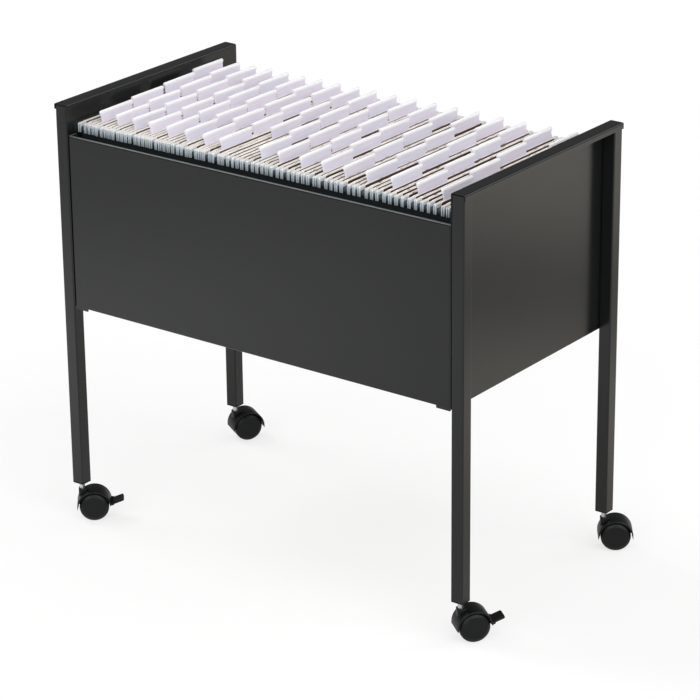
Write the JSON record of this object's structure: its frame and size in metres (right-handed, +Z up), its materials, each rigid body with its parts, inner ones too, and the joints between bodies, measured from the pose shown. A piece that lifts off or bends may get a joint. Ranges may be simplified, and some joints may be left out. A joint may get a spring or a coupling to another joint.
{
  "type": "mobile file cart",
  "caption": "Folded-steel file cart on twin-wheel casters: square-tube legs, low side panels with rails and capped ends, filled with hanging files.",
  "frame": {"origin": "middle of the floor print at floor level, with the casters trailing as in the picture", "axes": "+X along the cart towards its right end, +Y from the front panel to the rear panel, +Z up"},
  "size_m": [0.7666, 0.4372, 0.66],
  "materials": {
    "paint": "semi-gloss charcoal powder coat on steel",
    "zinc": "bright zinc plate",
    "nylon": "black moulded nylon, lightly grained",
    "card": "pale folder board with plastic bars and tabs"
  },
  "bodies": {
    "frame": {"front_left_leg": "paint", "front_right_leg": "paint", "rear_left_leg": "paint", "rear_right_leg": "paint", "right_end_panel": "paint", "left_end_panel": "paint", "front_panel": "paint", "rear_panel": "paint", "front_left_screw_lower": "zinc", "front_left_screw_upper": "zinc", "front_right_screw_lower": "zinc", "front_right_screw_upper": "zinc", "rear_left_screw_lower": "zinc", "rear_left_screw_upper": "zinc", "rear_right_screw_lower": "zinc", "rear_right_screw_upper": "zinc", "front_left_socket": "nylon", "front_left_stem": "zinc", "front_right_socket": "nylon", "front_right_stem": "zinc", "rear_left_socket": "nylon", "rear_left_stem": "zinc", "rear_right_socket": "nylon", "rear_right_stem": "zinc"},
    "front_left_caster": {"front_left_hood": "nylon", "front_left_axle": "zinc"},
    "front_left_wheel_a": {"front_left_wheel_a": "nylon"},
    "front_left_wheel_b": {"front_left_wheel_b": "nylon"},
    "front_left_brake_lever": {"front_left_brake_lever": "nylon"},
    "front_right_caster": {"front_right_hood": "nylon", "front_right_axle": "zinc"},
    "front_right_wheel_a": {"front_right_wheel_a": "nylon"},
    "front_right_wheel_b": {"front_right_wheel_b": "nylon"},
    "front_right_brake_lever": {"front_right_brake_lever": "nylon"},
    "rear_left_caster": {"rear_left_hood": "nylon", "rear_left_axle": "zinc"},
    "rear_left_wheel_a": {"rear_left_wheel_a": "nylon"},
    "rear_left_wheel_b": {"rear_left_wheel_b": "nylon"},
    "rear_right_caster": {"rear_right_hood": "nylon", "rear_right_axle": "zinc"},
    "rear_right_wheel_a": {"rear_right_wheel_a": "nylon"},
    "rear_right_wheel_b": {"rear_right_wheel_b": "nylon"},
    "file_pack_01": {"file_pack_01": "card"},
    "file_pack_02": {"file_pack_02": "card"},
    "file_pack_03": {"file_pack_03": "card"},
    "file_pack_04": {"file_pack_04": "card"},
    "file_pack_05": {"file_pack_05": "card"},
    "file_pack_06": {"file_pack_06": "card"},
    "file_pack_07": {"file_pack_07": "card"},
    "file_pack_08": {"file_pack_08": "card"},
    "file_pack_09": {"file_pack_09": "card"},
    "file_pack_10": {"file_pack_10": "card"},
    "file_pack_11": {"file_pack_11": "card"},
    "file_pack_12": {"file_pack_12": "card"},
    "file_pack_13": {"file_pack_13": "card"},
    "file_pack_14": {"file_pack_14": "card"},
    "file_pack_15": {"file_pack_15": "card"}
  },
  "joints": [
    {"name": "front_left_swivel", "type": "hinge", "parent": "frame", "child": "front_left_caster", "pos_m": [-0.36392, -0.19966, 0.0495], "axis": [0, 0, 1], "continuous": true},
    {"name": "front_left_wheel_a_spin", "type": "hinge", "parent": "front_left_caster", "child": "front_left_wheel_a", "pos_m": [-0.35051, -0.18841, 0.0225], "axis": [-0.6428, 0.766, 0], "continuous": true},
    {"name": "front_left_wheel_b_spin", "type": "hinge", "parent": "front_left_caster", "child": "front_left_wheel_b", "pos_m": [-0.35051, -0.18841, 0.0225], "axis": [-0.6428, 0.766, 0], "continuous": true},
    {"name": "front_left_brake", "type": "hinge", "parent": "front_left_caster", "child": "front_left_brake_lever", "pos_m": [-0.32895, -0.17032, 0.026], "axis": [-0.6428, 0.766, 0], "range_deg": [0, 25]},
    {"name": "front_right_swivel", "type": "hinge", "parent": "frame", "child": "front_right_caster", "pos_m": [0.33608, -0.19966, 0.0495], "axis": [0, 0, 1], "continuous": true},
    {"name": "front_right_wheel_a_spin", "type": "hinge", "parent": "front_right_caster", "child": "front_right_wheel_a", "pos_m": [0.34709, -0.18606, 0.0225], "axis": [-0.7771, 0.6293, 0], "continuous": true},
    {"name": "front_right_wheel_b_spin", "type": "hinge", "parent": "front_right_caster", "child": "front_right_wheel_b", "pos_m": [0.34709, -0.18606, 0.0225], "axis": [-0.7771, 0.6293, 0], "continuous": true},
    {"name": "front_right_brake", "type": "hinge", "parent": "front_right_caster", "child": "front_right_brake_lever", "pos_m": [0.3648, -0.16419, 0.026], "axis": [-0.7771, 0.6293, 0], "range_deg": [0, 25]},
    {"name": "rear_left_swivel", "type": "hinge", "parent": "frame", "child": "rear_left_caster", "pos_m": [-0.36392, 0.17234, 0.0495], "axis": [0, 0, 1], "continuous": true},
    {"name": "rear_left_wheel_a_spin", "type": "hinge", "parent": "rear_left_caster", "child": "rear_left_wheel_a", "pos_m": [-0.35465, 0.18718, 0.0225], "axis": [-0.848, 0.5299, 0], "continuous": true},
    {"name": "rear_left_wheel_b_spin", "type": "hinge", "parent": "rear_left_caster", "child": "rear_left_wheel_b", "pos_m": [-0.35465, 0.18718, 0.0225], "axis": [-0.848, 0.5299, 0], "continuous": true},
    {"name": "rear_right_swivel", "type": "hinge", "parent": "frame", "child": "rear_right_caster", "pos_m": [0.33608, 0.17234, 0.0495], "axis": [0, 0, 1], "continuous": true},
    {"name": "rear_right_wheel_a_spin", "type": "hinge", "parent": "rear_right_caster", "child": "rear_right_wheel_a", "pos_m": [0.35024, 0.18263, 0.0225], "axis": [-0.5878, 0.809, 0], "continuous": true},
    {"name": "rear_right_wheel_b_spin", "type": "hinge", "parent": "rear_right_caster", "child": "rear_right_wheel_b", "pos_m": [0.35024, 0.18263, 0.0225], "axis": [-0.5878, 0.809, 0], "continuous": true},
    {"name": "file_pack_01_lift", "type": "slide", "parent": "frame", "child": "file_pack_01", "axis": [0, 0, 1], "range_m": [0, 0.28]},
    {"name": "file_pack_02_lift", "type": "slide", "parent": "frame", "child": "file_pack_02", "axis": [0, 0, 1], "range_m": [0, 0.28]},
    {"name": "file_pack_03_lift", "type": "slide", "parent": "frame", "child": "file_pack_03", "axis": [0, 0, 1], "range_m": [0, 0.28]},
    {"name": "file_pack_04_lift", "type": "slide", "parent": "frame", "child": "file_pack_04", "axis": [0, 0, 1], "range_m": [0, 0.28]},
    {"name": "file_pack_05_lift", "type": "slide", "parent": "frame", "child": "file_pack_05", "axis": [0, 0, 1], "range_m": [0, 0.28]},
    {"name": "file_pack_06_lift", "type": "slide", "parent": "frame", "child": "file_pack_06", "axis": [0, 0, 1], "range_m": [0, 0.28]},
    {"name": "file_pack_07_lift", "type": "slide", "parent": "frame", "child": "file_pack_07", "axis": [0, 0, 1], "range_m": [0, 0.28]},
    {"name": "file_pack_08_lift", "type": "slide", "parent": "frame", "child": "file_pack_08", "axis": [0, 0, 1], "range_m": [0, 0.28]},
    {"name": "file_pack_09_lift", "type": "slide", "parent": "frame", "child": "file_pack_09", "axis": [0, 0, 1], "range_m": [0, 0.28]},
    {"name": "file_pack_10_lift", "type": "slide", "parent": "frame", "child": "file_pack_10", "axis": [0, 0, 1], "range_m": [0, 0.28]},
    {"name": "file_pack_11_lift", "type": "slide", "parent": "frame", "child": "file_pack_11", "axis": [0, 0, 1], "range_m": [0, 0.28]},
    {"name": "file_pack_12_lift", "type": "slide", "parent": "frame", "child": "file_pack_12", "axis": [0, 0, 1], "range_m": [0, 0.28]},
    {"name": "file_pack_13_lift", "type": "slide", "parent": "frame", "child": "file_pack_13", "axis": [0, 0, 1], "range_m": [0, 0.28]},
    {"name": "file_pack_14_lift", "type": "slide", "parent": "frame", "child": "file_pack_14", "axis": [0, 0, 1], "range_m": [0, 0.28]},
    {"name": "file_pack_15_lift", "type": "slide", "parent": "frame", "child": "file_pack_15", "axis": [0, 0, 1], "range_m": [0, 0.28]}
  ]
}
